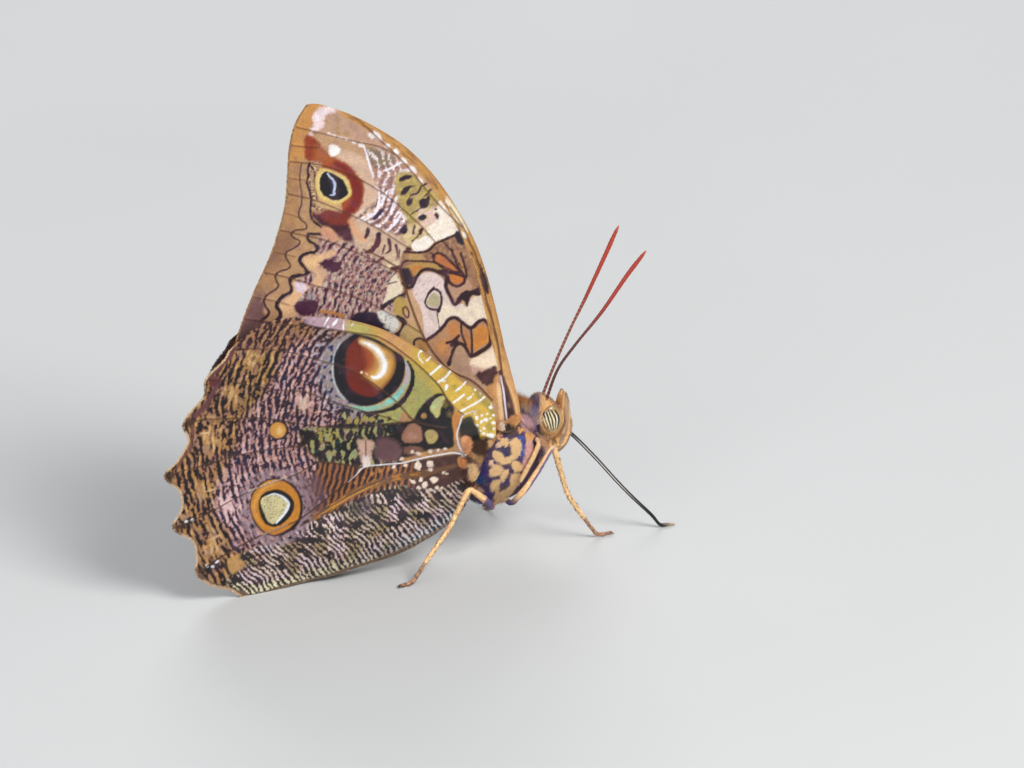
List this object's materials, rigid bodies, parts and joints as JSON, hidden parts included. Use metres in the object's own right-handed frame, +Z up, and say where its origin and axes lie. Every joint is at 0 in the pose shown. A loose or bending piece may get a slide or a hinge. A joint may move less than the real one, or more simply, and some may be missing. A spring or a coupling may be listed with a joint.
{
  "type": "butterfly",
  "caption": "Life-size still model of a resting butterfly, wings closed over its back, with eyespots, banded eyes, clubbed feelers, extended tongue, furry body and legs.",
  "frame": {"origin": "middle of the underside of the bounding box, on the plane that the feet, the tongue's tip and the hindwings' lower edges rest on", "axes": "+X is the way the butterfly faces, +Y is its left side, across the closed wings, and +Z is up"},
  "size_m": [0.05, 0.0126, 0.0481],
  "materials": {
    "forewing": "fine satin scales, brown, cream and ochre markings",
    "hindwing": "fine satin scales, rippled brown and cream with ringed eyespots",
    "thorax": "short dense fur, blue-violet with cream-orange patches",
    "abdomen": "short dense fur, tan with darker rings",
    "head": "short fur, ochre and blue-grey",
    "eye": "glossy, dark green with pale stripes",
    "palp": "bristly scales, cream with a grey centre stripe",
    "antenna": "satin, ringed, dark maroon with a red-brown club",
    "proboscis": "glossy black-brown with a paler tip",
    "leg": "scaly, cream-tan with purple-brown thighs and feet"
  },
  "bodies": {
    "root": {"abdomen": "abdomen", "antenna_left": "antenna", "antenna_right": "antenna", "eye_left": "eye", "eye_right": "eye", "foreleg_left": "leg", "foreleg_right": "leg", "forewing_left": "forewing", "forewing_right": "forewing", "head": "head", "hindleg_left": "leg", "hindleg_right": "leg", "hindwing_left": "hindwing", "hindwing_right": "hindwing", "midleg_left": "leg", "midleg_right": "leg", "palp_left": "palp", "palp_right": "palp", "proboscis": "proboscis", "thorax": "thorax"}
  },
  "joints": []
}
